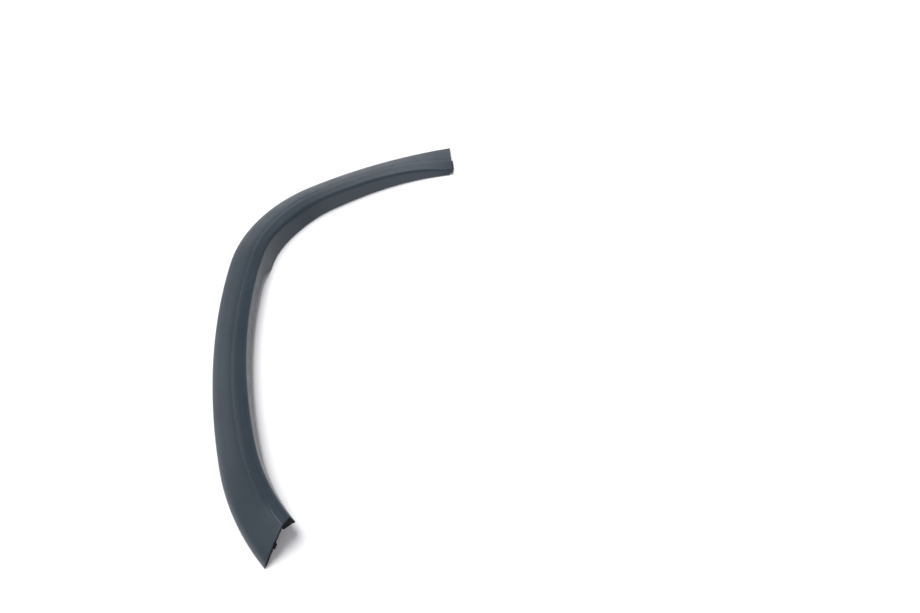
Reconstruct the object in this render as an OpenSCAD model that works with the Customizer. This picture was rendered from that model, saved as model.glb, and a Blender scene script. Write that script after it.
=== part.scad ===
// Wheel arch trim: one half of a two-part wheel arch moulding, lying as it comes
// to rest, hollow side down. Millimetres, Z up. The outer edge runs on the floor,
// X points to the middle of the arch and Y to its top.

/* [Outer edge] */
// Radius of the outer edge over the crown, from the joint end
crown_r = 724; // [600:1:1000]
// Angle that the crown arc turns through
crown_sweep = 20.5; // [17:0.1:22]
// Radius of the outer edge round the shoulder
shoulder_r = 215; // [200:1:260]
// Angle that the shoulder arc turns through
shoulder_sweep = 56.2; // [50:0.1:62]
// Radius of the outer edge down the leg
leg_r = 917; // [800:1:1300]
// Angle that the leg arc turns through
leg_sweep = 20.5; // [15:0.1:22]
// Radius of the outer edge at the foot
foot_r = 296; // [280:1:450]
// Angle that the foot arc turns through
foot_sweep = 24.5; // [18:0.1:28]
// Direction of the outer edge where it leaves the joint end
joint_heading = 174; // [168:0.1:180]

/* [Places along the outer edge] */
// Distance from the joint end to the place that the crown sizes are for
crown_at = 120; // [100:1:150]
// Distance from the joint end to the place that the shoulder sizes are for
shoulder_at = 342; // [300:1:380]
// Distance from the joint end to the step of the flange
step_at = 494; // [470:1:520]
// Distance from the joint end to the place that the leg sizes are for
leg_at = 695; // [640:1:740]

/* [Face] */
// Width of the face in plan at the joint end
face_joint = 70; // [60:0.5:76]
// Width of the face in plan on the crown
face_crown = 62.7; // [58:0.1:70]
// Width of the face in plan on the shoulder
face_shoulder = 64.5; // [58:0.5:72]
// Width of the face in plan where the flange steps
face_step = 54.1; // [50:0.1:60]
// Width of the face in plan down the leg
face_leg = 47; // [45:0.5:54]
// Width of the face in plan at the foot
face_foot = 45.6; // [42:0.1:50]
// Height of the fold at the joint end
rise_joint = 6.7; // [6.5:0.1:10]
// Height of the fold on the crown
rise_crown = 17.8; // [16:0.1:22]
// Height of the fold on the shoulder
rise_shoulder = 25.1; // [22:0.1:28]
// Height of the fold where the flange steps
rise_step = 29.5; // [26:0.5:32]
// Height of the fold down the leg
rise_leg = 32; // [28:0.5:36]
// Height of the fold at the foot
rise_foot = 34.4; // [30:0.1:38]
// Distance in plan from the styling crease to the fold at the joint end
crease_joint = 23.5; // [20:0.5:28]
// Distance in plan from the styling crease to the fold on the crown
crease_crown = 26.5; // [20:0.5:28]
// Distance in plan from the styling crease to the fold on the shoulder
crease_shoulder = 22.5; // [18:0.5:26]
// Distance in plan from the styling crease to the fold where the flange steps
crease_step = 15; // [13:0.5:20]
// Distance in plan from the styling crease to the fold down the leg
crease_leg = 15.2; // [13:0.1:18]
// Distance in plan from the styling crease to the fold at the foot
crease_foot = 10.6; // [10:0.1:14]
// Length over which the crease sharpens before the foot
crease_run = 200; // [120:5:240]
// How far the crease stands above a flat face along most of the length
crease_lift = 1.9; // [0.5:0.1:2.6]
// Half width of the soft styling crease along most of the length
crease_soft = 5; // [3:0.5:6]
// Half width of the styling crease where it sharpens at the foot
crease_sharp = 1.2; // [1:0.1:3]
// Bulge of the main face between the outer edge and the crease
face_bulge = 0.7; // [0:0.1:1.2]

/* [Rim, fold and wall] */
// Wall thickness of the moulding
wall = 2.4; // [2:0.1:2.6]
// Height of the rolled rim along the outer edge
rim_h = 3.2; // [3:0.1:3.6]
// Radius of the rolled rim
rim_r = 1.6; // [1.2:0.1:1.8]
// Radius of the soft fold over the crown
fold_r_crown = 6; // [4:0.5:8]
// Radius of the tight fold down the leg
fold_r_leg = 3.2; // [3:0.1:4]
// Length past the shoulder over which the fold tightens
fold_run = 140; // [100:5:150]

/* [Return flange] */
// Length over which the flange steps in
step_len = 16; // [12:1:24]
// Gap between the floor and the lower edge of the deep flange
flange_gap = 1.5; // [1:0.1:3]
// Depth of the shallow flange down the leg
flange_leg = 20; // [16:0.5:22]
// How far the deep flange leans in at the joint end
lean_joint = 5.7; // [3:0.1:7]
// How far the deep flange leans in on the crown
lean_crown = 6.7; // [5:0.1:10]
// How far the deep flange leans in on the shoulder
lean_shoulder = 9.2; // [6:0.1:12]
// How far the deep flange leans in just before its step
lean_step = 6.5; // [4:0.5:8]
// How far the shallow flange leans in down the leg
lean_leg = 1.5; // [0.5:0.1:2.5]
// Length of the notch in the flange's lower edge at the joint end
notch_len = 6; // [4:0.5:10]
// Length over which the notch runs out
notch_soft = 2; // [1:0.5:4]
// Height of the notch in the flange's lower edge
notch_up = 1.8; // [0.5:0.1:2]

/* [End cuts and joint] */
// Angle of the joint end cut away from square
joint_skew = 12.4; // [8:0.1:16]
// Angle of the foot cut away from square, up to the crease
foot_skew = 15.6; // [12:0.1:22]
// Length over which the end cuts fade out along the moulding
cut_fade = 90; // [70:1:120]
// How far the lap tongue stands out of the joint end
tongue_out = 2.8; // [2:0.1:6]
// Length of the tongue that is bonded under the face
tongue_root = 16; // [12:1:24]
// Distance in plan from the outer edge to the middle of the tongue
tongue_at = 54.5; // [52:0.5:56]
// Width of the lap tongue
tongue_w = 25; // [18:1:26]
// Thickness of the lap tongue
tongue_t = 2.2; // [1.8:0.1:2.4]

/* [Clip seats] */
// Distance from the joint end to the first clip seat
seat_first = 136; // [125:1:150]
// Distance between clip seats along the outer edge
seat_pitch = 155; // [140:1:160]
// Number of clip seats
seat_count = 5; // [3:1:5]
// Distance in plan from the middle of a clip seat to the fold
seat_in = 23; // [20:0.5:26]
// Diameter of the round hole for a push clip
clip_d = 8.5; // [7:0.1:9]
// Length of a clip seat along the moulding
seat_len = 20; // [18:1:26]
// Width of a clip seat across the moulding
seat_w = 15; // [14:0.5:18]
// Thickness of the clip seat plate
seat_t = 2; // [1.6:0.1:2.4]
// Thickness of the two cheeks that carry the plate
cheek_t = 1.6; // [1.4:0.1:2]
// Height of the underside of the clip seat plate above the floor
seat_z = 2.5; // [2:0.1:3]
// How far the plate stands below the feet of its cheeks
seat_proud = 0.4; // [0.2:0.1:0.8]
// How far the plate is set in from the sides of its cheeks
seat_inset = 0.6; // [0.3:0.1:1]

/* [Ribs and foot] */
// Thickness of the stiffening ribs and the foot web
rib_t = 1.6; // [1.2:0.1:2]
// Depth of a rib below the wall at its deepest point
rib_depth = 3.5; // [2.5:0.1:4.5]
// Distance in plan from the deepest point of a rib to the fold
rib_in = 22; // [18:0.5:26]
// How far the foot web stands out of the end cut
web_out = 0.4; // [0.2:0.1:1]
// Width of the foot web across the moulding
web_w = 14; // [12:0.5:17]
// Height of the foot web's lowest corner above the lower edge of the flange
web_up = 1; // [0.5:0.1:2]
// Distance in plan from the outer edge to the middle of the locating block
block_at = 18.5; // [14:0.5:22]
// Width of the locating block at the foot
block_w = 5; // [4:0.5:8]
// How far the locating block stands out of the foot cut
block_out = 0.8; // [0.5:0.1:2]
// Length of the locating block under the face
block_root = 8; // [6:0.5:12]
// How far the locating block hangs below the wall
block_drop = 3; // [2:0.5:5]

/* [Hidden] */
$fn = 48;

// Ribs keep this far from both ends
rib_clear = 50;
// Depth to which the tongue is sunk in the wall above it
bite = 0.5;
// Most that the fold radius may be, as a share of the fold's height
fold_most = 0.45;
// Where the main face is widest in its bulge, as shares of its width
bulge_at = [0.33, 0.66];
// Steps along the moulding: before the flange step, through it and after it
deep_steps = 34;
turn_steps = 5;
leg_steps = 26;
// Steps round the fold radius
fold_steps = 4;

// The outer edge as a chain of four tangent arcs
arc_r = [crown_r, shoulder_r, leg_r, foot_r];
arc_a = [crown_sweep, shoulder_sweep, leg_sweep, foot_sweep];
function arc_len(i) = arc_r[i] * arc_a[i] * PI / 180;
function arc_from(i) = i == 0 ? 0 : arc_from(i - 1) + arc_len(i - 1);
arc_s = [for (i = [0:4]) arc_from(i)];
total = arc_s[4];

// Point and direction reached after turning by a degrees on an arc of radius r
function turned(pose, r, a) =
    [pose[0] + r * (sin(pose[2] + a) - sin(pose[2])),
     pose[1] - r * (cos(pose[2] + a) - cos(pose[2])),
     pose[2] + a];
function arc_pose(i) = i == 0 ? [0, 0, joint_heading] : turned(arc_pose(i - 1), arc_r[i - 1], arc_a[i - 1]);
arc_p = [for (i = [0:3]) arc_pose(i)];

// Pose of the outer edge at distance s from the joint end
function arc_of(s) = s < arc_s[1] ? 0 : s < arc_s[2] ? 1 : s < arc_s[3] ? 2 : 3;
function edge(s) = let (i = arc_of(s)) turned(arc_p[i], arc_r[i], (s - arc_s[i]) / arc_r[i] * 180 / PI);

stations = concat(
    [0, notch_len, notch_len + notch_soft],
    [for (i = [1:deep_steps - 1]) step_at * i / deep_steps],
    [for (i = [0:turn_steps - 1]) step_at + step_len * i / turn_steps],
    [for (i = [0:leg_steps]) step_at + step_len + (total - step_at - step_len) * i / leg_steps]);
// The drawing is centred on the middle of its box in plan
edge_x = [for (s = stations) edge(s)[0]];
edge_y = [for (s = stations) edge(s)[1]];
centre = [min(edge_x) + max(edge_x), min(edge_y) + max(edge_y)] / 2;

// Smooth curve through one value for each of the six named places on the edge
key_s = [0, crown_at, shoulder_at, step_at + step_len / 2, leg_at, total];
function rate(v, i) =
    i == 0 ? (v[1] - v[0]) / key_s[1] :
    i == 5 ? (v[5] - v[4]) / (key_s[5] - key_s[4]) :
    (v[i + 1] - v[i - 1]) / (key_s[i + 1] - key_s[i - 1]);
function key_of(s, i = 4) = (i == 0 || s >= key_s[i]) ? i : key_of(s, i - 1);
function along(v, s) =
    let (i = key_of(s), w = key_s[i + 1] - key_s[i], t = max(0, min(1, (s - key_s[i]) / w)))
    v[i] * (2 * t * t * t - 3 * t * t + 1) + rate(v, i) * w * (t * t * t - 2 * t * t + t)
    + v[i + 1] * (3 * t * t - 2 * t * t * t) + rate(v, i + 1) * w * (t * t * t - t * t);
function ease(t) = let (c = max(0, min(1, t))) c * c * (3 - 2 * c);

function face_w(s) = along([face_joint, face_crown, face_shoulder, face_step, face_leg, face_foot], s);
function rise(s) = along([rise_joint, rise_crown, rise_shoulder, rise_step, rise_leg, rise_foot], s);
function crease_u(s) =
    face_w(s) - along([crease_joint, crease_crown, crease_shoulder, crease_step, crease_leg, crease_foot], s);

// 0 before the flange step, 1 after it
function stepped(s) = ease((s - step_at) / step_len);
function deep_lean(s) =
    s < key_s[1] ? lean_joint + (lean_crown - lean_joint) * ease(s / key_s[1]) :
    s < key_s[2] ? lean_crown + (lean_shoulder - lean_crown) * ease((s - key_s[1]) / (key_s[2] - key_s[1])) :
    lean_shoulder + (lean_step - lean_shoulder) * ease((s - key_s[2]) / (step_at - key_s[2]));
function lean(s) = deep_lean(s) + (lean_leg - deep_lean(s)) * stepped(s);
function flange_z(s) = flange_gap + (rise(s) - flange_leg - flange_gap) * stepped(s);
// Lower edge of the flange with its notch at the joint end
function foot_z(s) = flange_z(s) + notch_up * (1 - ease((s - notch_len) / notch_soft));
function fold_r(s) =
    min(fold_r_crown + (fold_r_leg - fold_r_crown) * ease((s - shoulder_at) / fold_run), fold_most * rise(s));
function soft(s) = crease_soft + (crease_sharp - crease_soft) * ease((s - total + crease_run) / crease_run);

function unit(v) = v / norm(v);
// The right-hand side of a direction, which is the inside of the wall
function inside(d) = [d[1], -d[0]];

// Outside of the wall at distance s, as [distance in from the edge, height]
function skin(s) =
    let (
        w = face_w(s), h = rise(s), cu = crease_u(s), q = soft(s),
        cz = rim_h + (h - rim_h) * cu / w + crease_lift,
        d0 = unit([cu - rim_r, cz - rim_h]),
        d1 = unit([w - cu, h - cz]),
        d2 = unit([lean(s), flange_z(s) - h]),
        bend = acos(d1 * d2), r = fold_r(s), cut = r * tan(bend / 2),
        a0 = [w, h] - cut * d1, mid = a0 + r * inside(d1),
        foot = [w, h] + d2 * (foot_z(s) - h) / d2[1],
        a1 = [w, h] + cut * d2
    )
    concat(
        [[0, 0], [0, rim_h - rim_r], [rim_r * (1 - cos(45)), rim_h - rim_r * (1 - sin(45))], [rim_r, rim_h]],
        [for (t = bulge_at) [rim_r, rim_h] + t * ([cu, cz] - [rim_r, rim_h]) + [0, face_bulge]],
        [[cu, cz] - q * d0, [cu, cz] + q * d1],
        [for (k = [0:fold_steps]) let (a = bend * k / fold_steps)
            mid - r * (inside(d1) * cos(a) - d1 * sin(a))],
        [(a1 + foot) / 2, foot]
    );
skin_n = 10 + fold_steps + 1;

// Inside of the wall, one point for each point of the skin after the rim
function offset_point(p, j, t) =
    let (a = inside(unit(p[j] - p[j - 1])), b = j < len(p) - 1 ? inside(unit(p[j + 1] - p[j])) : a)
    p[j] + t * (a + b) / (1 + a * b);
function lining(p, t) =
    let (
        n = len(p) - 1,
        body = [for (j = [4:n - 1]) offset_point(p, j, t)],
        k = (body[1] - body[0]) / (body[1][0] - body[0][0]),
        d = unit(p[n] - p[n - 1]), end = p[n] + t * inside(d)
    )
    concat([[t, 0], body[0] + k * (t - body[0][0])], body, [end + d * ((p[n][1] - end[1]) / d[1])]);
lining_n = skin_n - 2;

// Closed outline of the wall: up over the face and back along the inside
function outline(s) = let (p = skin(s), q = lining(p, wall)) concat(p, [for (j = [lining_n - 1:-1:0]) q[j]]);
ring = skin_n + lining_n;

// How far a point moves along the edge so that the two end cuts are oblique
function cut_shift(u, s) =
    u * tan(joint_skew) * (1 - ease(s / cut_fade))
    - min(u, crease_u(s)) * tan(foot_skew) * (1 - ease((total - s) / cut_fade));

function place(q, s) =
    let (e = edge(s + cut_shift(q[0], s)))
    [e[0] - q[0] * sin(e[2]) - centre[0], e[1] + q[0] * cos(e[2]) - centre[1], q[1]];

last = len(stations) - 1;

// Index of the inside point that belongs to skin point j of one end cap
function inner_of(j) = ring - 1 - max(0, j - 2);

module shell() {
    points = [for (s = stations) for (q = outline(s)) place(q, s)];
    sides = [for (i = [0:last - 1]) for (j = [0:ring - 1])
        let (a = i * ring + j, b = i * ring + (j + 1) % ring, c = b + ring, d = a + ring)
        each [[a, b, c], [a, c, d]]];
    // One cap as triangles between the skin and the inside of the wall
    cap = concat(
        [[0, ring - 1, 1], [1, ring - 1, ring - 2], [1, ring - 2, 2], [2, ring - 2, 3]],
        [for (j = [3:skin_n - 2]) each [[j, inner_of(j + 1), j + 1], [j, inner_of(j), inner_of(j + 1)]]]);
    caps = concat(
        [for (t = cap) [t[0], t[1], t[2]]],
        [for (t = cap) [t[0] + last * ring, t[2] + last * ring, t[1] + last * ring]]);
    polyhedron(points = points, faces = concat(sides, caps), convexity = 10);
}

// A plate across the moulding at distance s, drawn in the section plane; slant makes it run
// parallel to an oblique cut and climb makes it follow the slope of the face
module plate(s, pts, thick, slant = 0, climb = 0) {
    e = edge(s);
    multmatrix([
        [-sin(e[2]) + slant * cos(e[2]), 0, cos(e[2]), e[0] - centre[0]],
        [cos(e[2]) + slant * sin(e[2]), 0, sin(e[2]), e[1] - centre[1]],
        [0, 1, climb, 0],
        [0, 0, 0, 1]])
    linear_extrude(height = thick, center = true)
    polygon(pts);
}

// Middle of the wall, into which ribs and cheeks run
function core(s) = lining(skin(s), wall / 2);
// Height of the middle of the wall over the distance u from the edge
function core_z(s, u) = let (c = core(s)) lookup(u, [for (j = [1:5]) c[j]]);
// Height of the inside of the face
function under_z(s, u) = core_z(s, u) - wall / 2;

module rib(s) {
    c = core(s);
    w = face_w(s);
    plate(s, concat(
        [for (j = [3:lining_n - 2]) c[j]],
        [[w - rib_in, under_z(s, w - rib_in) - rib_depth]]), rib_t);
}

// A moulded seat for a push clip: two cheeks and a plate with a round hole
module clip_seat(s) {
    u = face_w(s) - seat_in;
    a = u - seat_w / 2;
    b = u + seat_w / 2;
    e = edge(s);
    for (side = [-1, 1]) {
        t = s + side * (seat_len - cheek_t) / 2;
        plate(t, [[a, seat_z + seat_proud], [b, seat_z + seat_proud],
            [b, core_z(t, b)], [u, core_z(t, u)], [a, core_z(t, a)]], cheek_t);
    }
    difference() {
        plate(s, [[a + seat_inset, seat_z], [b - seat_inset, seat_z],
            [b - seat_inset, seat_z + seat_t], [a + seat_inset, seat_z + seat_t]], seat_len - cheek_t);
        translate([e[0] - u * sin(e[2]) - centre[0], e[1] + u * cos(e[2]) - centre[1], seat_z - 1])
            cylinder(d = clip_d, h = seat_t + 2);
    }
}

// The joggled lap tongue, cut parallel to the joint
module joint_tongue() {
    slant = tan(joint_skew);
    a = tongue_at - tongue_w / 2;
    b = tongue_at + tongue_w / 2;
    climb = (under_z(tongue_root, tongue_at) - under_z(0, tongue_at)) / tongue_root;
    mid = (tongue_root - tongue_out) / 2;
    z0 = under_z(0, a) + bite + climb * mid;
    z1 = under_z(0, b) + bite + climb * mid;
    plate(mid, [[a, z0 - tongue_t], [b, z1 - tongue_t], [b, z1], [a, z0]], tongue_out + tongue_root, slant, climb);
}

// The web across the corner of the foot and the small locating block beside it
module foot_end() {
    s = total + cut_shift(face_foot, total) + web_out - rib_t / 2;
    c = core(total);
    plate(s, concat(
        [[face_foot - web_w, core_z(total, face_foot - web_w)]],
        [for (j = [6:lining_n - 2]) c[j]],
        [[c[lining_n - 1][0], flange_z(total) + web_up]]), rib_t);
    a = block_at - block_w / 2;
    b = block_at + block_w / 2;
    plate(total + (block_out - block_root) / 2,
        [[a, under_z(total, a) - block_drop], [b, under_z(total, b) - block_drop],
         [b, core_z(total, b)], [a, core_z(total, a)]], block_out + block_root, -tan(foot_skew));
}

// Clip seats at an even pitch, with two ribs between neighbours and one rib pair past each end
seats = [for (i = [0:seat_count - 1]) seat_first + i * seat_pitch];
ribs = [for (i = [0:seat_count]) for (k = [1, 2]) seat_first + (i - k / 3) * seat_pitch];

module arch_trim() {
    color([0.25, 0.28, 0.32]) union() {
        shell();
        for (s = ribs) if (s > rib_clear && s < total - rib_clear) rib(s);
        for (s = seats) clip_seat(s);
        joint_tongue();
        foot_end();
    }
}

arch_trim();
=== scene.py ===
# %% [markdown]
# # A wheel arch trim in Blender
# The object is a wheel arch trim: a single thin wall of dark blue-grey plastic, about 60 cm long
# and 3 cm high, that lies on its open side. Its shape was worked out in CAD first. This lesson
# loads that model as a fixed frame and builds the moulding again over it, with a smooth surface,
# rounded cut edges and a grained satin plastic.

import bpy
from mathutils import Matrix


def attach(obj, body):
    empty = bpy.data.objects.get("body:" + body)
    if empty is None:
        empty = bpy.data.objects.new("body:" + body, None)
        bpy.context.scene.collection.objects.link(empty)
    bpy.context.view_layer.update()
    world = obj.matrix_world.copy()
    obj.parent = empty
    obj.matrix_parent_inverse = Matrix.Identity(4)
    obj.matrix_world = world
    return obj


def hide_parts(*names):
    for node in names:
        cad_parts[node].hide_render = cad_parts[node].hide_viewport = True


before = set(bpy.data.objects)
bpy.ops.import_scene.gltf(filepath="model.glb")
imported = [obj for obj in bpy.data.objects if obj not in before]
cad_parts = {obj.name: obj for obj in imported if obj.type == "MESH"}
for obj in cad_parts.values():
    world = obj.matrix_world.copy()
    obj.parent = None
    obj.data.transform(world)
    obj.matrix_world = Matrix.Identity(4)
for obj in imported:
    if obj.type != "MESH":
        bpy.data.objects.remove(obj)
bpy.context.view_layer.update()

# %% [markdown]
# ## Sizes
# The moulding is a section carried along its outer edge, which lies on the floor. The edge is a
# chain of four arcs that run smoothly into each other. The section is given at six places along
# it. Working in millimetres keeps the numbers readable, and one factor turns them into metres at
# the very end. Most of these sizes also made the CAD model, so both have the same main shape.
# Here the step of the flange is longer and softer, the rim is rounder at the foot, and the small
# plates at the foot sit a little differently.

import bpy
import numpy as np

MM = 0.001
arc_radius = np.array([724.0, 215.0, 917.0, 296.0])       # crown, shoulder, leg, foot
arc_turn = np.radians([20.5, 56.2, 20.5, 24.5])
joint_heading = np.radians(174.0)
arc_start = np.concatenate([[0.0], np.cumsum(arc_radius * arc_turn)])
total = arc_start[-1]

# the six places: joint, crown, shoulder, step, leg, foot
key_s = np.array([0.0, 120.0, 342.0, 502.0, 695.0, total])
step_at, step_len = 480.0, 36.0                           # where the flange grows shallow
face_widths = [70.0, 62.7, 64.5, 54.1, 47.0, 45.6]
fold_heights = [6.7, 17.8, 25.1, 29.5, 32.0, 34.4]
crease_gaps = [23.5, 26.5, 22.5, 15.0, 15.2, 10.6]        # from the crease to the fold
flange_leans = [5.7, 6.7, 9.2, 6.5, 1.5]                  # joint, crown, shoulder, step, leg
print("outer edge: %.1f mm long" % total)

# %% Sizes of the section, in millimetres and degrees
wall = 2.4
rim_h, rim_r, rim_r_foot = 3.2, 1.6, 3.0
crease_lift, crease_soft, crease_sharp, crease_run = 1.9, 5.0, 1.2, 200.0
face_bulge = 0.7
brow, brow_run, brow_turn = 3.0, 3.0, 0.6                 # height, reach, share that the rim takes
fold_r_crown, fold_r_leg, fold_run, fold_most = 6.0, 3.2, 140.0, 0.45
flange_gap, flange_leg = 1.5, 20.0
notch_len, notch_soft, notch_up = 6.0, 2.0, 1.8
joint_skew, foot_skew, cut_fade = np.radians(12.4), np.radians(15.6), 90.0
print("wall %.1f mm, face %.1f to %.1f mm wide" % (wall, face_widths[0], face_widths[-1]))

# %% [markdown]
# ## The path
# A point on the edge is found from its distance to the joint end. Each arc starts where the last
# one ended, in the direction that it had there, so the chain has no kink. Spline tools could draw
# the same line by hand, but a formula gives exactly the line of the CAD model.

# %% The outer edge
def turned(x, y, heading, radius, angle):
    """Where an arc ends: the start point plus radius times the change of (sin, -cos) of the
    heading, as the heading turns by the angle."""
    return (x + radius * (np.sin(heading + angle) - np.sin(heading)),
            y - radius * (np.cos(heading + angle) - np.cos(heading)),
            heading + angle)


arc_pose = [(0.0, 0.0, joint_heading)]
for radius, turn in zip(arc_radius[:-1], arc_turn[:-1]):
    arc_pose.append(turned(*arc_pose[-1], radius, turn))
arc_pose = np.array(arc_pose)


def edge(s):
    """x, y and heading of the outer edge at the distances s: the pose at the start of the arc
    that s lies on, turned by the distance along it over its radius."""
    i = np.clip(np.searchsorted(arc_start, s, side="right") - 1, 0, len(arc_pose) - 1)
    x, y, heading = np.moveaxis(arc_pose[i], -1, 0)
    return turned(x, y, heading, arc_radius[i], (s - arc_start[i]) / arc_radius[i])


print("heading turns by %.1f degrees from end to end" % np.degrees(arc_turn.sum()))


# %% Soft steps and curves along the edge
def ease(t):
    """A soft step from 0 to 1: three t squared minus two t cubed, held flat outside."""
    t = np.clip(t, 0.0, 1.0)
    return t * t * (3 - 2 * t)


def along(values, s):
    """A smooth curve through one value at each of the six key places: cubic Hermite pieces whose
    slope at a key is the rise between its two neighbours over their distance."""
    v, k = np.array(values), key_s
    slope = np.concatenate([[(v[1] - v[0]) / k[1]], (v[2:] - v[:-2]) / (k[2:] - k[:-2]),
                            [(v[-1] - v[-2]) / (k[-1] - k[-2])]])
    i = np.clip(np.searchsorted(k, s, side="right") - 1, 0, len(k) - 2)
    w = k[i + 1] - k[i]
    t = np.clip((s - k[i]) / w, 0, 1)
    return (v[i] * (2 * t**3 - 3 * t**2 + 1) + slope[i] * w * (t**3 - 2 * t**2 + t)
            + v[i + 1] * (3 * t**2 - 2 * t**3) + slope[i + 1] * w * (t**3 - t**2))


# %% [markdown]
# ## The section
# From the outside in, the wall has a rolled rim, a broad main face with a slight bulge, a styling
# crease, a narrower face, a rounded fold and a flange that turns down. Down the leg the flange
# steps from deep to shallow. Each of these is a short run of points. All stations are worked out
# at once: every size is a column with one row for each station, and a run of points is a row.

# %% How the section changes
def face_w(s):
    """Width of the face in plan."""
    return along(face_widths, s)


def rise(s):
    """Height of the fold above the floor."""
    return along(fold_heights, s)


def crease_u(s):
    """Distance of the styling crease from the outer edge."""
    return face_w(s) - along(crease_gaps, s)


def to_foot(s):
    """0 along most of the length, going softly to 1 at the foot."""
    return ease((s - total + crease_run) / crease_run)


def stepped(s):
    """0 before the step of the flange and 1 after it."""
    return ease((s - step_at) / step_len)


def lean(s):
    """How far the flange leans in: soft steps from place to place, then down the leg."""
    joint, crown, shoulder, step, leg = flange_leans
    deep = (joint + (crown - joint) * ease(s / key_s[1])
            + (shoulder - crown) * ease((s - key_s[1]) / (key_s[2] - key_s[1]))
            + (step - shoulder) * ease((s - key_s[2]) / (key_s[3] - key_s[2])))
    return deep + (leg - deep) * stepped(s)


def flange_z(s):
    """Height of the flange's lower edge."""
    return flange_gap + (rise(s) - flange_leg - flange_gap) * stepped(s)


def foot_z(s):
    """Height of the flange's lower edge with the notch that it has at the joint end."""
    return flange_z(s) + notch_up * (1 - ease((s - notch_len) / notch_soft))


def fold_r(s):
    """Radius of the fold, never more than a share of its height."""
    r = fold_r_crown + (fold_r_leg - fold_r_crown) * ease((s - key_s[2]) / fold_run)
    return np.minimum(r, fold_most * rise(s))


# %% Points in the section plane
def unit(v):
    """The direction of v: v over its length, on the last axis."""
    return v / np.linalg.norm(v, axis=-1, keepdims=True)


def inside(d):
    """The right-hand side of a direction, which is the inside of the wall."""
    return np.stack([d[..., 1], -d[..., 0]], axis=-1)


def pair(u, z):
    """Two columns as points (distance in from the edge, height)."""
    u, z = np.broadcast_arrays(u, z)
    return np.stack([u, z], axis=-1)


def run(a, b, t):
    """Points on the straight line from a to b at the shares t."""
    return a[:, None] + (b - a)[:, None] * t[None, :, None]


def bezier(a, corner, b, t):
    """Quadratic Bezier curve from a to b, drawn to the corner: (1 - t) squared times a, plus
    2 t (1 - t) times the corner, plus t squared times b."""
    return (1 - t)**2 * a + 2 * t * (1 - t) * corner + t**2 * b


# %% The outside of the wall
LOW, RIM, FACE, CREASE, BAND, FOLD, FLANGE = 3, 9, 26, 11, 9, 15, 13     # points in each run


def skin(s):
    """Outside of the wall at the stations s, as an array (station, point, 2). The rim is a
    circular arc that turns from upright into the slope of the face, the main face a line plus a
    bulge of one minus the cube of the distance from its middle, the crease a quadratic Bezier
    curve, the fold a circular arc that touches the face and the flange. Towards the foot a brow
    is added to the main face: one minus e to the minus distance from the rim, fading inwards."""
    w, h, cu = face_w(s), rise(s), crease_u(s)
    q = (crease_soft + (crease_sharp - crease_soft) * to_foot(s))[:, None]
    rr = rim_r + (rim_r_foot - rim_r) * to_foot(s)
    rim_top = pair(rr, rim_h)
    corner = pair(cu, rim_h + (h - rim_h) * cu / w + crease_lift)
    fold = pair(w, h)
    d0, d1 = unit(corner - rim_top), unit(fold - corner)
    d2 = unit(pair(lean(s), flange_z(s) - h))
    foot = fold + d2 * ((foot_z(s) - h) / d2[:, 1])[:, None]
    bend = np.arccos((d1 * d2).sum(-1))[:, None]
    r = fold_r(s)[:, None]
    cut = r * np.tan(bend / 2)

    a, b = corner - q * d0, corner + q * d1
    length = np.linalg.norm(a - rim_top, axis=-1)
    lift = brow * to_foot(s)
    # the bulge starts with a slope of six times its height over the length
    climb = (6 * face_bulge + brow_turn * lift * length / brow_run) / length
    slope = np.arctan2(d0[:, 1], d0[:, 0]) + climb
    turn = np.linspace(0, 1, RIM)[None] * (np.pi / 2 - slope)[:, None]
    rr = rr[:, None]
    rim = pair(rr * (1 - np.cos(turn)), rim_h - rr * (1 - np.sin(turn)))
    low = pair(0 * rr, np.linspace(0, 1, LOW + 1)[None, :LOW] * (rim_h - rr))
    t = np.linspace(0, 1, FACE + 2)[1:-1]
    face = run(rim[:, -1], a, t)
    face[..., 1] += (face_bulge * (1 - np.abs(2 * t - 1)**3)
                     + lift[:, None] * (1 - np.exp(-t * length[:, None] / brow_run)) * (1 - t))
    crease = bezier(a[:, None], corner[:, None], b[:, None],
                    np.linspace(0, 1, CREASE)[None, :, None])
    band = run(b, fold - cut * d1, np.linspace(0, 1, BAND + 2)[1:-1])
    centre = (fold - cut * d1 + r * inside(d1))[:, None]
    turn = (bend * np.linspace(0, 1, FOLD)[None])[..., None]
    arc = centre - r[:, None] * (inside(d1)[:, None] * np.cos(turn) - d1[:, None] * np.sin(turn))
    flange = run(fold + cut * d2, foot, np.linspace(0, 1, FLANGE + 1)[1:])
    return np.concatenate([low, rim, face, crease, band, arc, flange], axis=1)


# %% The inside of the wall
EDGE_POINTS = LOW + RIM


def lining(p, depth):
    """Inside of the wall: each point of the face, fold and flange moved square to the line of
    its neighbours by the depth, then cut level with the flange, and closed down to the floor
    behind the rim, where the line of the lining is carried on. Returns (station, point, 2)."""
    body = p[:, EDGE_POINTS:]
    ahead = unit(np.diff(body, axis=1))
    between = ahead[:, 1:] + ahead[:, :-1]
    tangent = unit(np.concatenate([ahead[:, :1], between, ahead[:, -1:]], axis=1))
    moved = body + depth * inside(tangent)
    last, d = moved[:, -1], tangent[:, -1]
    moved[:, -1] = last + d * ((p[:, -1, 1] - last[:, 1]) / d[:, 1])[:, None]
    near, far = moved[:, 1], moved[:, 6]
    slope = (far - near) / (far[:, 0] - near[:, 0])[:, None]
    start = near + slope * (depth - near[:, 0])[:, None]
    floor_point = pair(depth + 0 * start[:, 0], 0)
    return np.concatenate([floor_point[:, None], start[:, None], moved[:, 2:]], axis=1)


sample = skin(key_s[2:3])
print("section on the shoulder: %d outside points, %d inside" %
      (sample.shape[1], lining(sample, wall).shape[1]))

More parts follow.
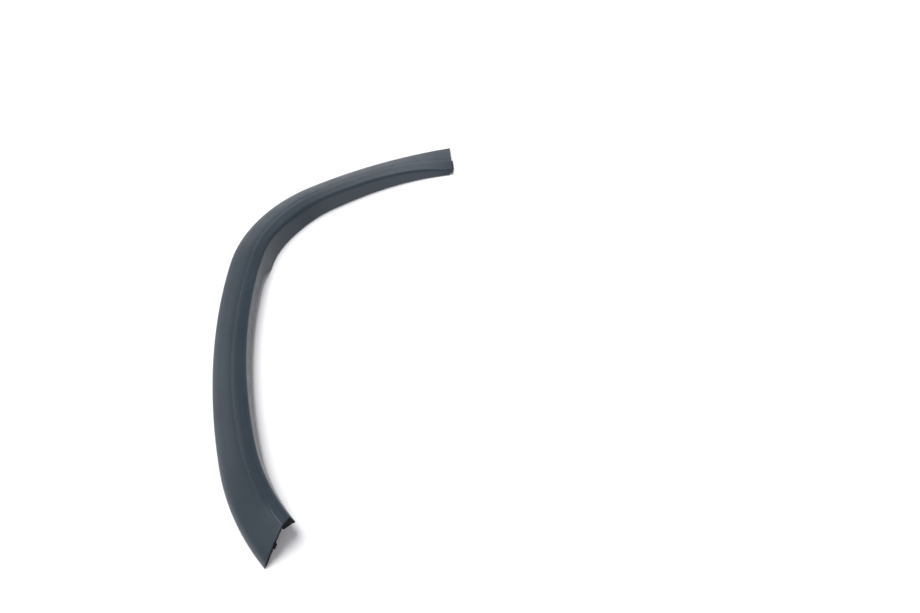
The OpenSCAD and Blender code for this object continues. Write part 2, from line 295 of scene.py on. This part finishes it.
# %% [markdown]
# ## From section to space
# Both ends are cut at an angle. Instead of trimming the mesh, each point near an end slides along
# the path by an amount that grows with its distance from the outer edge, and fades out further
# in. That keeps the grid whole. The cut edges get a small radius, because a moulding has no knife
# edge: the last few stations shrink towards the middle of the wall along a quarter circle.

# %% Place section points in space
line_points = 4000
line = np.stack(edge(np.linspace(0, total, line_points))[:2], axis=-1)
middle = (line.min(axis=0) + line.max(axis=0)) / 2
print("middle of the plan: %.2f, %.2f mm from the joint end" % tuple(middle))


def cut_shift(u, s):
    """How far a point slides along the path: its distance in from the edge times the tangent of
    the cut's angle, faded out over the cut's reach. The foot's cut turns square past the crease."""
    at_joint = u * np.tan(joint_skew) * (1 - ease(s / cut_fade))
    at_foot = np.minimum(u, crease_u(s)) * np.tan(foot_skew) * (1 - ease((total - s) / cut_fade))
    return at_joint - at_foot


def place(q, s):
    """Section points q at the distances s as points in millimetres: go to the edge, step in
    square to it by the first coordinate and up by the second."""
    x, y, heading = edge(s)
    return np.stack([x - q[..., 0] * np.sin(heading) - middle[0],
                     y + q[..., 0] * np.cos(heading) - middle[1],
                     q[..., 1] + 0 * x], axis=-1)


def shrink(ring, amount):
    """A closed outline (..., point, 2) with each point moved in by the amount, square to the line
    between its two neighbours."""
    tangent = unit(np.roll(ring, -1, axis=-2) - np.roll(ring, 1, axis=-2))
    return ring + np.asarray(amount)[..., None, None] * inside(tangent)


# %% Put arrays into a mesh
sharp_from = np.radians(38)


def closed_volume(points, faces):
    """Signed volume inside closed faces: a sixth of the sum, over the triangles of a fan on each
    face, of the first corner times the cross product of the other two."""
    volume = 0.0
    for f in faces:
        p = points[f]
        fan = np.cross(p[:, 1:-1], p[:, 2:])
        volume += (p[:, :1] * fan).sum() / 6
    return volume


def new_piece(name, points, *faces):
    """A mesh object from points in millimetres and arrays of corner numbers, one array for each
    number of corners. Faces that close a negative volume look inwards, so all are turned."""
    points = np.asarray(points, float).reshape(-1, 3)
    if closed_volume(points, faces) < 0:
        faces = [f[:, ::-1] for f in faces]
    corners = np.concatenate([f.ravel() for f in faces]).astype(np.int32)
    sizes = np.concatenate([np.full(len(f), f.shape[1]) for f in faces]).astype(np.int32)
    starts = np.concatenate([[0], np.cumsum(sizes)[:-1]]).astype(np.int32)
    mesh = bpy.data.meshes.new(name)
    mesh.vertices.add(len(points))
    mesh.vertices.foreach_set("co", (points * MM).astype(np.float32).ravel())
    mesh.loops.add(len(corners))
    mesh.loops.foreach_set("vertex_index", corners)
    mesh.polygons.add(len(sizes))
    mesh.polygons.foreach_set("loop_start", starts)
    mesh.polygons.foreach_set("loop_total", sizes)
    mesh.polygons.foreach_set("use_smooth", np.ones(len(sizes), bool))
    mesh.update(calc_edges=True)
    mesh.set_sharp_from_angle(angle=sharp_from)
    piece = bpy.data.objects.new(name, mesh)
    bpy.context.scene.collection.objects.link(piece)
    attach(piece, "root")
    print("%s: %d points, volume %.1f cubic mm, lowest %.2f mm" %
          (name, len(points), abs(closed_volume(points, faces)), points[:, 2].min()))
    return piece


def grid_quads(rows, columns, wrap=False):
    """Corner numbers of the quads of a grid whose rows are closed rings. With wrap, the last row
    is joined to the first as well."""
    i = np.arange(rows if wrap else rows - 1)[:, None]
    j = np.arange(columns)[None]
    this, following, k = i * columns, (i + 1) % rows * columns, (j + 1) % columns
    return np.stack([this + j, this + k, following + k, following + j], axis=-1).reshape(-1, 4)


def repeated(quads, count, step):
    """Corner numbers of copies of the same quads, whose points lie the step apart in the list."""
    return (quads[None] + step * np.arange(count)[:, None, None]).reshape(-1, 4)


# %% [markdown]
# ## The moulding
# About six hundred stations, each with a ring of points round the wall, make the whole thin
# shell as one closed grid. Stations lie closer together where the flange steps. The two ends are
# closed by a ladder of faces between the outside and the inside of the wall.

# %% Stations along the edge
cut_r, cut_steps = 0.45, 5
notch_end = notch_len + notch_soft + 1
step_margin = 4.0
step_from, step_to = step_at - step_margin, step_at + step_len + step_margin
notch_n, deep_n, step_n, leg_n = 24, 290, 36, 240         # stations in each stretch

quarter = np.linspace(0, np.pi / 2, cut_steps)
from_end = cut_r * (1 - np.cos(quarter))
inset = cut_r * (1 - np.sin(quarter))
body_s = np.concatenate([np.linspace(cut_r, notch_end, notch_n)[1:],
                         np.linspace(notch_end, step_from, deep_n)[1:-1],
                         np.linspace(step_from, step_to, step_n),
                         np.linspace(step_to, total - cut_r, leg_n)[1:-1]])
stations = np.concatenate([from_end, body_s, total - from_end[::-1]])
insets = np.concatenate([inset, 0 * body_s, inset[::-1]])
print("stations:", len(stations))

# %% The shell
outside = skin(stations)
ring = np.concatenate([outside, lining(outside, wall)[:, ::-1]], axis=1)
ring = shrink(ring, insets)
points = place(ring, stations[:, None] + cut_shift(ring[..., 0], stations[:, None]))
rows, columns = ring.shape[:2]
outside_n = outside.shape[1]


def end_cap(first):
    """Triangles between the outside points of a ring, whose numbers start at first, and the
    inside points that face them. The first outside point faces the floor point of the lining,
    and the others of the rim all face the top of the wall behind it."""
    near = np.arange(outside_n)
    facing = columns - 1 - np.concatenate([[0], np.ones(EDGE_POINTS + 1, int),
                                           np.arange(2, outside_n - EDGE_POINTS)])
    a, b, c, d = near[:-1], near[1:], facing[1:], facing[:-1]
    faces = np.concatenate([np.stack([a, d, c], 1), np.stack([a, c, b], 1)])
    has_area = (faces != np.roll(faces, -1, axis=1)).all(axis=1)
    return faces[has_area] + first


caps = np.concatenate([end_cap(0), end_cap((rows - 1) * columns)[:, ::-1]])
shell = new_piece("arch_trim_shell", points, grid_quads(rows, columns), caps)
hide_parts("arch_trim")
print("shell: %d stations of %d points" % (rows, columns))

# %% [markdown]
# ## Plates
# Ribs, cheeks, tongue, web, end rib and block are all flat plates that stand across the path. One
# helper makes them: an outline in the section plane becomes a closed slab, whose two faces are
# drawn in along a quarter circle, so that every free edge is soft. A bevel modifier would do it
# too, but here the same shrink function serves as for the ends of the moulding.

# %% Outlines of plates
def soften(outline, reach, steps=4):
    """An outline with each corner replaced by a quadratic Bezier curve that starts and ends at
    the reach, or at a third of the side where that is less."""
    def toward(side):
        length = np.linalg.norm(side, axis=-1, keepdims=True)
        return (outline + side / length * np.minimum(reach, length / 3))[..., None, :]
    back, ahead = (np.roll(outline, way, axis=-2) - outline for way in (1, -1))
    curve = bezier(toward(back), outline[..., None, :], toward(ahead),
                   np.linspace(0, 1, steps)[:, None])
    return curve.reshape(*outline.shape[:-2], -1, 2)


def core(s):
    """Middle of the wall at the distances s, where plates end inside it."""
    return lining(skin(np.atleast_1d(np.asarray(s, float))), wall / 2)


def core_z(s, u):
    """Height of the middle of the wall over the distance u from the edge."""
    c = core(s)[0, :-FLANGE - FOLD]
    return float(np.interp(u, c[:, 0], c[:, 1]))


# %% Plates across the path
def slabs(name, outlines, s, thick, radius=0.3, slant=0.0, climb=0.0):
    """Closed plates: outlines (plate, point, 2) at the distances s, half the thickness to each
    side along the direction of the path there, with edges rounded by the radius. The slant moves
    a point along the path in step with its distance from the outer edge, so that a plate runs
    parallel to an oblique cut; the climb lifts it in step with its distance along the path."""
    s = np.asarray(s, float)
    turn = np.linspace(0, np.pi / 2, 3)
    out = thick / 2 - radius * (1 - np.cos(turn))
    d = np.concatenate([-out, out[::-1]])
    draw = radius * (1 - np.sin(np.concatenate([turn, turn[::-1]])))
    signed = (outlines[..., 0] * np.roll(outlines[..., 1], -1, axis=-1)
              - outlines[..., 1] * np.roll(outlines[..., 0], -1, axis=-1)).sum(-1)
    rings = shrink(outlines[:, None], -np.sign(signed)[:, None] * draw[None])
    points = place(rings, s[:, None, None])
    _, _, heading = edge(s)
    forward = np.stack([np.cos(heading), np.sin(heading), 0 * heading], axis=-1)
    ahead = d[None, :, None] + slant * rings[..., 0]
    points = points + forward[:, None, None] * ahead[..., None]
    points[..., 2] += climb * d[None, :, None]
    plates, layers, columns = points.shape[:3]
    step = layers * columns
    starts, cap = step * np.arange(plates)[:, None], np.arange(columns)
    ends = np.concatenate([starts + cap[::-1], starts + step - columns + cap])
    return new_piece(name, points, repeated(grid_quads(layers, columns), plates, step), ends)


# %% [markdown]
# ## Ribs
# Thin ribs cross the hollow between the clip seats and stiffen it. Each is a triangle whose long
# side lies in the wall, from the main face round the fold to the middle of the flange.

# %% Ribs
seat_first, seat_pitch, seat_count = 136.0, 155.0, 5
rib_t, rib_depth, rib_in, rib_clear = 1.6, 3.5, 22.0, 50.0
rib_soft, rib_steps = 5.0, 7                              # the lower corner, and its points
# the points of the wall that a rib meets, from the main face to the middle of the flange
rib_from, rib_to = 3 * FACE // 4, FACE + CREASE + BAND + FOLD + 6

rib_s = np.array([seat_first + (i - k / 3) * seat_pitch
                  for i in range(seat_count + 1) for k in (1, 2)])
rib_s = rib_s[(rib_s > rib_clear) & (rib_s < total - rib_clear)]
along_wall = core(rib_s)[:, rib_from:rib_to]
deepest_u = face_w(rib_s) - rib_in
deepest_z = [core_z(s, u) - wall / 2 - rib_depth for s, u in zip(rib_s, deepest_u)]
deepest = np.stack([deepest_u, deepest_z], axis=-1)
a, b = (deepest + rib_soft * unit(along_wall[:, end] - deepest) for end in (-1, 0))
bottom = bezier(a[:, None], deepest[:, None], b[:, None],
                np.linspace(0, 1, rib_steps)[None, :, None])
ribs = slabs("ribs", np.concatenate([along_wall, bottom], axis=1), rib_s, rib_t)

# %% [markdown]
# ## Clip seats
# A push clip snaps into a round hole in a small plate that two cheeks hold under the face. The
# plate is one surface: a ring of points at each of eight steps, from the hole to the outer edge
# and back, so the hole is truly round and the outline truly square.

# %% Cheeks of the clip seats
seat_in, clip_d, seat_len, seat_w, seat_t = 23.0, 8.5, 20.0, 15.0, 2.0
cheek_t, cheek_soft, seat_z, seat_proud, seat_inset = 1.6, 0.8, 2.5, 0.4, 0.6
seat_s = seat_first + seat_pitch * np.arange(seat_count)
seat_u = face_w(seat_s) - seat_in
cheek_off = (seat_len - cheek_t) / 2


def cheek(s, u):
    """Outline of one cheek: from the height of its foot up into the wall."""
    foot, lo, hi = seat_z + seat_proud, u - seat_w / 2, u + seat_w / 2
    top = [[v, core_z(s, v)] for v in (hi, u, lo)]
    return np.array([[lo, foot], [hi, foot], *top])


cheek_s = np.concatenate([seat_s - cheek_off, seat_s + cheek_off])
cheek_lines = np.stack([cheek(s, u) for s, u in zip(cheek_s, np.tile(seat_u, 2))])
cheeks = slabs("clip_seat_cheeks", soften(cheek_lines, cheek_soft), cheek_s, cheek_t)

# %% Plates of the clip seats
hole_points, soft_r = 64, 0.25
turn = np.linspace(0, 2 * np.pi, hole_points, endpoint=False) + np.pi / hole_points
hole = np.full(hole_points, clip_d / 2)
half_u = seat_w / 2 - seat_inset
square = 1 / np.maximum(np.abs(np.cos(turn)) / half_u, np.abs(np.sin(turn)) / cheek_off)
reach = np.stack([hole, hole, hole + soft_r, square - soft_r,
                  square, square, square - soft_r, hole + soft_r])
height = seat_z + np.array([soft_r, seat_t - soft_r, seat_t, seat_t,
                            seat_t - soft_r, soft_r, 0, 0])
x, y, heading = (v[:, None, None] for v in edge(seat_s))
u = seat_u[:, None, None] + reach[None] * np.cos(turn)
d = reach[None] * np.sin(turn)
plate_points = np.stack([x - u * np.sin(heading) + d * np.cos(heading) - middle[0],
                         y + u * np.cos(heading) + d * np.sin(heading) - middle[1],
                         height[None, :, None] + 0 * u], axis=-1)
seat_quads = grid_quads(len(height), hole_points, wrap=True)
seat_plates = new_piece("clip_seat_plates", plate_points,
                        repeated(seat_quads, seat_count, len(height) * hole_points))
print("clip seats at", np.round(plate_points[:, 0].mean(axis=1)[:, :2], 2).tolist())

# %% [markdown]
# ## The joint end
# A tongue for a lap joint stands out from under the face. It is a flat leaf whose end runs
# parallel to the oblique cut and which climbs with the face above it.

# %% Tongue
tongue_out, tongue_root, tongue_at, tongue_w, tongue_t = 2.8, 16.0, 54.5, 25.0, 2.2
tongue_bite, tongue_soft = 0.5, 0.5
mid = (tongue_root - tongue_out) / 2
lo, hi = tongue_at - tongue_w / 2, tongue_at + tongue_w / 2
climb = (core_z(tongue_root, tongue_at) - core_z(0.0, tongue_at)) / tongue_root
z_lo, z_hi = (core_z(0.0, u) - wall / 2 + tongue_bite + climb * mid for u in (lo, hi))
leaf = np.array([[[lo, z_lo - tongue_t], [hi, z_hi - tongue_t], [hi, z_hi], [lo, z_lo]]])
tongue = slabs("joint_tongue", soften(leaf, tongue_soft), [mid], tongue_out + tongue_root,
               slant=np.tan(joint_skew), climb=climb)
print("tongue: climbs %.3f mm for each mm" % climb)

# %% [markdown]
# ## The foot
# A web closes the corner under the fold behind the cut, so that the end of the moulding stays
# square. A low rib hangs under the face along the cut and makes its edge look thick, and a small
# block locates the lower end. The rib and the block are plates like the others, but slanted, so
# that they run parallel to the cut.

# %% Foot web
thin_r = 0.2                                              # radius of the edges of thin plates
web_back, web_w, web_up, web_low, web_step = 0.8, 14.0, 0.3, 3.0, 3.0
foot_face = face_widths[-1]
web_s = total + float(cut_shift(foot_face, total)) - web_back - rib_t / 2
web_in, web_z = foot_face - web_w, float(flange_z(total))
foot_core = core(total)[0]
upper = foot_core[:-(FLANGE // 2)]
web_line = np.concatenate([[[web_in, core_z(total, web_in)]], upper[upper[:, 0] > web_in],
                           [[foot_core[-1, 0], web_z + web_up],
                            [web_in + web_step, web_z + web_low]]])
web = slabs("foot_web", web_line[None], [web_s], rib_t, thin_r)

# %% End rib
end_rib_back, end_rib_drop, end_rib_low = 0.2, 3.6, 0.5
end_rib_gap, end_rib_past, end_rib_points = 0.4, 6.0, 14
rib_u = np.linspace(wall + end_rib_gap, foot_face - web_w + end_rib_past, end_rib_points)
rib_top = np.array([core_z(total, u) for u in rib_u])
rib_bottom = np.maximum(rib_top - wall / 2 - end_rib_drop, end_rib_low)
rib_line = np.concatenate([pair(rib_u, rib_bottom), pair(rib_u, rib_top)[::-1]])
end_rib = slabs("end_rib", rib_line[None], [total - end_rib_back - rib_t / 2], rib_t, thin_r,
                slant=-np.tan(foot_skew))

# %% Locating block
block_at, block_w, block_out, block_root, block_drop, block_soft = 19.5, 5.0, 1.4, 8.0, 4.4, 0.6
sides = [block_at - block_w / 2, block_at + block_w / 2]
tops = [core_z(total, u) for u in sides]
under = [z - wall / 2 - block_drop for z in tops]
block_line = np.concatenate([pair(sides, under), pair(sides, tops)[::-1]])
block = slabs("locating_block", soften(block_line[None], block_soft),
              [total + (block_out - block_root) / 2], block_out + block_root,
              slant=-np.tan(foot_skew))

# %% [markdown]
# ## Two finishes on one moulding, and painted shade
# The trim is one shot of black polypropylene with a slight blue cast. The outer half of the mould
# is etched with a fine pebbled grain, so the face scatters light softly. The grain stops just
# short of the cut ends and, towards the foot, of the rim and the crease, where the steel stays
# polished, so those edges gleam a little more. The inner half of the mould is plain milled steel,
# so the hollow, the cut ends, the tongue, the end rib and the web are duller. Their near-black
# colour is painted shade of the hollow and of the corner under the fold. Both finishes are made
# from the same node groups, so that a change of grain changes the whole part.

# %% Node groups
FLOAT, COLOR, VECTOR = "NodeSocketFloat", "NodeSocketColor", "NodeSocketVector"


def node_group(name, inputs, outputs):
    """An empty shader group with the named sockets, given as (name, kind, value)."""
    group = bpy.data.node_groups.new(name, "ShaderNodeTree")
    for label, kind, value in inputs:
        socket = group.interface.new_socket(label, in_out="INPUT", socket_type=kind)
        if value is not None:
            socket.default_value = value
    for label, kind in outputs:
        group.interface.new_socket(label, in_out="OUTPUT", socket_type=kind)
    return group, group.nodes.new("NodeGroupInput"), group.nodes.new("NodeGroupOutput")


def add(tree, kind, links=(), **settings):
    """A new node in the tree. The settings set its properties, or the default of the input socket
    with that name where it has no such property. The links are (input, output socket) pairs."""
    node = tree.nodes.new(kind)
    for key, value in settings.items():
        if hasattr(node, key):
            setattr(node, key, value)
        else:
            node.inputs[key].default_value = value
    for socket, source in links:
        tree.links.new(source, node.inputs[socket])
    return node


def reckon(tree, operation, *terms, clamp=False):
    """The result of a Math node. Its inputs are the terms in order: a number is set, and an
    output socket is linked."""
    node = add(tree, "ShaderNodeMath", operation=operation, use_clamp=clamp)
    for socket, term in zip(node.inputs, terms):
        if isinstance(term, (int, float)):
            socket.default_value = term
        else:
            tree.links.new(term, socket)
    return node.outputs[0]


def rescale(tree, value, *ends):
    """The result of a Map Range node. The ends are lowest and highest value, then lowest and
    highest result, and values past them are held."""
    node = add(tree, "ShaderNodeMapRange", links=[("Value", value)])
    for socket, end in zip(("From Min", "From Max", "To Min", "To Max"), ends):
        node.inputs[socket].default_value = end
    return node.outputs[0]


# %% [markdown]
# The grain is a smooth cell pattern about 0.7 mm across with finer noise on top, a hundredth of a
# millimetre deep. A bump node turns the height into a bent normal, so no geometry is needed.

# %% Grain
finer_by, speck_share = 2.7, 0.5
grain, inp, out = node_group("moulded grain",
                             [("Vector", VECTOR, None), ("Cells per metre", FLOAT, 1400.0),
                              ("Depth", FLOAT, 0.00001), ("Polish", FLOAT, 0.0)],
                             [("Normal", VECTOR), ("Height", FLOAT)])
point, cells_per_metre = inp.outputs["Vector"], inp.outputs["Cells per metre"]
cells = add(grain, "ShaderNodeTexVoronoi", feature="SMOOTH_F1",
            links=[("Vector", point), ("Scale", cells_per_metre)])
finer = reckon(grain, "MULTIPLY", cells_per_metre, finer_by)
speck = add(grain, "ShaderNodeTexNoise", Detail=2.0, links=[("Vector", point), ("Scale", finer)])
height = reckon(grain, "MULTIPLY_ADD", speck.outputs["Fac"], speck_share,
                cells.outputs["Distance"])
matt = reckon(grain, "SUBTRACT", 1.0, inp.outputs["Polish"], clamp=True)
bump = add(grain, "ShaderNodeBump",
           links=[("Height", height), ("Distance", inp.outputs["Depth"]), ("Strength", matt)])
grain.links.new(bump.outputs["Normal"], out.inputs["Normal"])
grain.links.new(height, out.inputs["Height"])
print("grain:", len(grain.nodes), "nodes")

# %% [markdown]
# Plastic never cools quite evenly. Broad, faint clouds change its tone by up to a seventh, and
# smaller patches, one or two centimetres across, change how dull it is. The ridges of the grain
# catch a little dust, so they are a touch lighter.

# %% Tone
cloud_scale, patch_scale, gleam_by = 11.0, 60.0, -0.2
dust_color = (0.16, 0.17, 0.18, 1)
tone, inp, out = node_group("uneven tone",
                            [("Vector", VECTOR, None), ("Color", COLOR, (0.04, 0.05, 0.06, 1)),
                             ("Roughness", FLOAT, 0.4), ("Height", FLOAT, 0.5),
                             ("Polish", FLOAT, 0.0)],
                            [("Color", COLOR), ("Roughness", FLOAT)])
point = inp.outputs["Vector"]
cloud = add(tone, "ShaderNodeTexNoise", Scale=cloud_scale, Detail=3.0, links=[("Vector", point)])
shade = add(tone, "ShaderNodeHueSaturation",
            links=[("Color", inp.outputs["Color"]),
                   ("Value", rescale(tone, cloud.outputs["Fac"], 0.3, 0.7, 0.86, 1.14))])
dust_level = rescale(tone, inp.outputs["Height"], 0.35, 0.95, 0.0, 0.04)
dust = add(tone, "ShaderNodeMix", data_type="RGBA", links=[("Factor", dust_level)])
COLOR_A, COLOR_B, COLOR_OUT = 6, 7, 2                     # the Mix node's colour sockets
tone.links.new(shade.outputs["Color"], dust.inputs[COLOR_A])
dust.inputs[COLOR_B].default_value = dust_color
tone.links.new(dust.outputs[COLOR_OUT], out.inputs["Color"])

patch = add(tone, "ShaderNodeTexNoise", Scale=patch_scale, Detail=4.0, links=[("Vector", point)])
patch_level = rescale(tone, patch.outputs["Fac"], 0.3, 0.7, -0.05, 0.05)
dull = reckon(tone, "ADD", inp.outputs["Roughness"], patch_level)
gleam = reckon(tone, "MULTIPLY_ADD", inp.outputs["Polish"], gleam_by, dull, clamp=True)
tone.links.new(gleam, out.inputs["Roughness"])
print("tone:", len(tone.nodes), "nodes")

# %% [markdown]
# A finish is then short to write: its own colour, dullness, grain size and depth, plus the groups.
# The polish of the edges comes from the mesh. It is worked out from the grid itself: near one at
# the cut ends and, at the foot, on the rim and the crease, falling to nothing within a few
# millimetres.

# %% Finishes
def finish(name, color, roughness, cells_per_metre, depth, specular):
    """A plastic that reads object coordinates for its pattern and the mesh's polish values."""
    material = bpy.data.materials.new(name)
    material.use_nodes = True
    tree = material.node_tree
    point = add(tree, "ShaderNodeTexCoord").outputs["Object"]
    polish = add(tree, "ShaderNodeAttribute", attribute_name="polish").outputs["Fac"]
    pebbles = add(tree, "ShaderNodeGroup", node_tree=grain,
                  links=[("Vector", point), ("Polish", polish)])
    pebbles.inputs["Cells per metre"].default_value = cells_per_metre
    pebbles.inputs["Depth"].default_value = depth
    drift = add(tree, "ShaderNodeGroup", node_tree=tone,
                links=[("Vector", point), ("Polish", polish),
                       ("Height", pebbles.outputs["Height"])])
    drift.inputs["Color"].default_value = color
    drift.inputs["Roughness"].default_value = roughness
    principled = tree.nodes["Principled BSDF"]
    principled.inputs["Specular IOR Level"].default_value = specular
    tree.links.new(drift.outputs["Color"], principled.inputs["Base Color"])
    tree.links.new(drift.outputs["Roughness"], principled.inputs["Roughness"])
    tree.links.new(pebbles.outputs["Normal"], principled.inputs["Normal"])
    print("finish:", name)
    return material


satin = finish("satin grained plastic", (0.024, 0.037, 0.050, 1), roughness=0.34,
               cells_per_metre=1400.0, depth=0.000012, specular=0.5)
# The plain finish is near black with little gloss: painted shade of the hollow, the cut ends and
# the plates under the fold. Only its dullness is the plastic's own.
plain_painted_shade = finish("plain plastic with painted shade", (0.004, 0.0044, 0.0055, 1), roughness=0.62,
               cells_per_metre=900.0, depth=0.000008, specular=0.05)

# %% Finish of each face of the shell, with painted shade on the inside and the cut ends
on_outside = np.arange(columns) < outside_n - 1
face_finish_and_shade = np.concatenate([np.tile(np.where(on_outside, 0, 1), rows - 1),
                              np.ones(len(caps), int)]).astype(np.int32)
shell.data.materials.append(satin)
shell.data.materials.append(plain_painted_shade)
shell.data.polygons.foreach_set("material_index", face_finish_and_shade)
# The plates under the face all get the near-black plain finish, which is painted shade.
for piece in (ribs, cheeks, seat_plates, tongue, web, end_rib, block):
    piece.data.materials.append(plain_painted_shade)
print("faces with the grained finish:", int((face_finish_and_shade == 0).sum()), "of", len(face_finish_and_shade))

# %% Polish of the edges
rim_line, rim_reach, rim_grow = 0.8, 2.0, 250.0           # from the edge, its width, its run-in
crease_reach, end_reach = 1.0, 1.5
s, u = stations[:, None], ring[..., 0]
on_rim = np.exp(-np.abs(u - rim_line) / rim_reach) * ease((s - step_at) / rim_grow)
on_crease = np.exp(-np.abs(u - crease_u(s)) / crease_reach) * to_foot(s)
on_ends = np.exp(-np.minimum(s, total - s) / end_reach)
polish = np.maximum(on_ends, np.maximum(on_rim, on_crease))
polish = np.where(np.arange(columns) < outside_n, polish, 0).astype(np.float32)
shell.data.attributes.new("polish", "FLOAT", "POINT").data.foreach_set("value", polish.ravel())
print("polished points: %d of %d" % ((polish > 0.5).sum(), polish.size))

# %% [markdown]
# ## Floor, lamp and camera
# The trim lies on a white studio floor under soft light. The floor is plain diffuse paint. A small
# glow, seen only by the camera, in gloss and through glass, lifts it to paper white and leaves the
# shadow.

# %% Floor
floor_half, glow_level = 9.0, 0.05
floor_mesh = bpy.data.meshes.new("floor")
floor_mesh.from_pydata([(x * floor_half, y * floor_half, 0)
                        for x, y in ((-1, -1), (1, -1), (1, 1), (-1, 1))], [], [(0, 1, 2, 3)])
floor = bpy.data.objects.new("floor", floor_mesh)
bpy.context.scene.collection.objects.link(floor)

floor_paint = bpy.data.materials.new("white floor")
floor_paint.use_nodes = True
tree = floor_paint.node_tree
tree.nodes.remove(tree.nodes["Principled BSDF"])
diffuse = add(tree, "ShaderNodeBsdfDiffuse", Color=(0.9, 0.9, 0.91, 1))
rays = add(tree, "ShaderNodeLightPath").outputs
seen = reckon(tree, "MAXIMUM", rays["Is Camera Ray"], rays["Is Glossy Ray"])
seen = reckon(tree, "MAXIMUM", seen, rays["Is Transmission Ray"])
glow = add(tree, "ShaderNodeEmission",
           links=[("Strength", reckon(tree, "MULTIPLY", seen, glow_level))])
both = add(tree, "ShaderNodeAddShader", links=[(0, diffuse.outputs[0]), (1, glow.outputs[0])])
tree.links.new(both.outputs[0], tree.nodes["Material Output"].inputs["Surface"])
floor_mesh.materials.append(floor_paint)
print("floor: %.0f m square" % (2 * floor_half))

# %% [markdown]
# The key light is one broad soft sun, almost overhead and a little behind. It lights without
# showing in the gloss, as a lamp behind a large diffuser does. All that the satin face mirrors
# comes from the room, so the room matters as much as the lamp: a wall behind the object brightens
# the crown, one on the left the middle of the leg, one behind the camera the flange, the ceiling
# the fold, and a small window draws the line of the crease at the foot. Each is a soft lobe of the
# world's light, made by one group.

# %% Lamp
from mathutils import Vector


def sun_from(name, toward, energy, spread):
    """A sun that shines from the direction toward, as seen from the object; the spread is the
    angle that it fills in the sky, in degrees."""
    data = bpy.data.lights.new(name, "SUN")
    data.energy, data.angle = energy, np.radians(spread)
    lamp = bpy.data.objects.new(name, data)
    lamp.rotation_euler = Vector(toward).to_track_quat("Z", "Y").to_euler()
    lamp.location = toward
    bpy.context.scene.collection.objects.link(lamp)
    print("%s: strength %.1f, %d degrees wide" % (name, energy, spread))
    return lamp


key = sun_from("key", (-0.08, 0.42, 0.90), energy=3.0, spread=38)
key.visible_glossy = False

# %% Soft wall
wall_light, inp, out = node_group("soft wall",
                                  [("Vector", VECTOR, None), ("Toward", VECTOR, (0, 1, 0)),
                                   ("Edge", FLOAT, 0.5), ("Level", FLOAT, 0.5)],
                                  [("Light", FLOAT)])
aligned = add(wall_light, "ShaderNodeVectorMath", operation="DOT_PRODUCT",
              links=[(0, inp.outputs["Vector"]), (1, inp.outputs["Toward"])])
lobe = add(wall_light, "ShaderNodeMapRange", interpolation_type="SMOOTHSTEP",
           links=[("Value", aligned.outputs["Value"]), ("From Min", inp.outputs["Edge"]),
                  ("To Max", inp.outputs["Level"])])
wall_light.links.new(lobe.outputs[0], out.inputs["Light"])

# %% Walls, ceiling and window
# name, direction, cosine of the angle to the lobe's edge, strength at its middle
walls = (("back", (0.45, 0.85, 0.28), 0.85, 0.9),
         ("front", (0.1, -0.99, 0.1), 0.45, 1.3),
         ("ceiling", (0.1, 0.1, 0.99), 0.8, 0.35),
         ("left", (-0.85, 0.5, 0.1), 0.93, 0.5),
         ("window", (-0.9, 0.08, 0.43), 0.988, 3.6))
room_light = 0.1

world = bpy.data.worlds.new("studio")
bpy.context.scene.world = world
world.use_nodes = True
tree = world.node_tree
background = tree.nodes["Background"]
background.inputs["Color"].default_value = (0.94, 0.95, 1, 1)
direction = add(tree, "ShaderNodeTexCoord").outputs["Generated"]
light = room_light
for name, *values in walls:
    lit = add(tree, "ShaderNodeGroup", node_tree=wall_light, label=name,
              links=[("Vector", direction)])
    for socket, value in zip(("Toward", "Edge", "Level"), values):
        lit.inputs[socket].default_value = value
    light = reckon(tree, "ADD", lit.outputs[0], light)
tree.links.new(light, background.inputs["Strength"])
print("room:", ", ".join(name for name, *_ in walls))

# %% [markdown]
# The camera stands 58 cm over the floor and looks down at 49 degrees, through a moderate
# wide-angle lens. Its place was found from the outline of the trim in the photograph.

# %% Camera
sensor_width, focal_px, photo_width = 36.0, 560, 920
camera_at = (-0.084623, -0.526625, 0.580)
camera_turn = np.radians([41, 0, -22])
camera_data = bpy.data.cameras.new("camera")
camera_data.sensor_width = sensor_width
camera_data.lens = sensor_width * focal_px / photo_width
camera = bpy.data.objects.new("camera", camera_data)
camera.location = camera_at
camera.rotation_euler = camera_turn
bpy.context.scene.collection.objects.link(camera)
bpy.context.scene.camera = camera
bpy.context.scene.view_settings.view_transform = "Standard"
print("lens: %.1f mm" % camera_data.lens)
